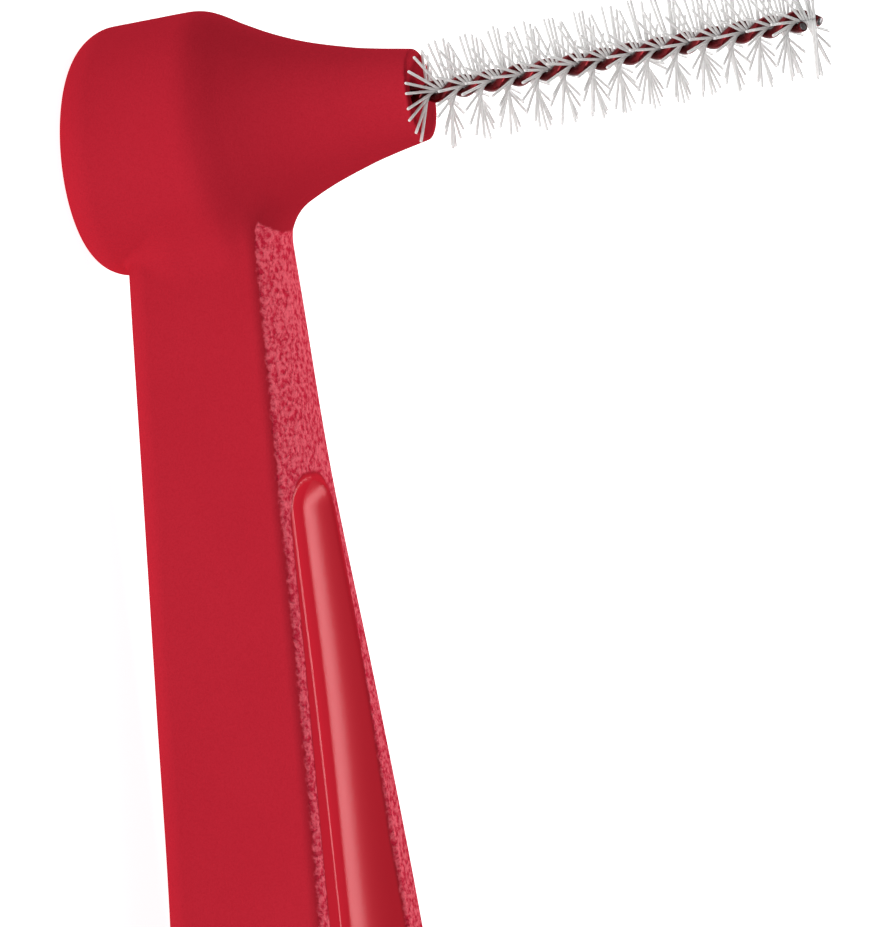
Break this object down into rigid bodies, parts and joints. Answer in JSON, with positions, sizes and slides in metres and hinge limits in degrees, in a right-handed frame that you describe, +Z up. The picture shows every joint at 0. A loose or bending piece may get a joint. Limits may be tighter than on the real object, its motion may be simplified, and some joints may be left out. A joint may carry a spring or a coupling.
{
  "type": "interdental brush",
  "caption": "Angled interdental brush: a slim moulded handle with a drum-backed angled head, and a twisted coated wire holding nylon filaments.",
  "frame": {"origin": "on the table, under the middle of the handle, with the handle lying on its back", "axes": "+X along the handle towards the head, +Z up, the way the brush points, +Y across the handle"},
  "size_m": [0.145, 0.0124, 0.0184],
  "materials": {
    "handle_plastic": "moulded polypropylene, fine matte sides, spark-eroded front and a polished thumb trough",
    "wire_coating": "smooth translucent dark red polymer coating",
    "wire_steel": "drawn stainless wire",
    "nylon_filament": "translucent white nylon"
  },
  "bodies": {
    "root": {"handle": "handle_plastic", "wire_core_a": "wire_steel", "wire_core_b": "wire_steel", "wire_coating_a": "wire_coating", "wire_coating_b": "wire_coating", "filaments_01": "nylon_filament", "filaments_02": "nylon_filament", "filaments_03": "nylon_filament", "filaments_04": "nylon_filament", "filaments_05": "nylon_filament", "filaments_06": "nylon_filament", "filaments_07": "nylon_filament", "filaments_08": "nylon_filament", "filaments_09": "nylon_filament", "filaments_10": "nylon_filament", "filaments_11": "nylon_filament", "filaments_12": "nylon_filament", "filaments_13": "nylon_filament", "filaments_14": "nylon_filament"}
  },
  "joints": []
}
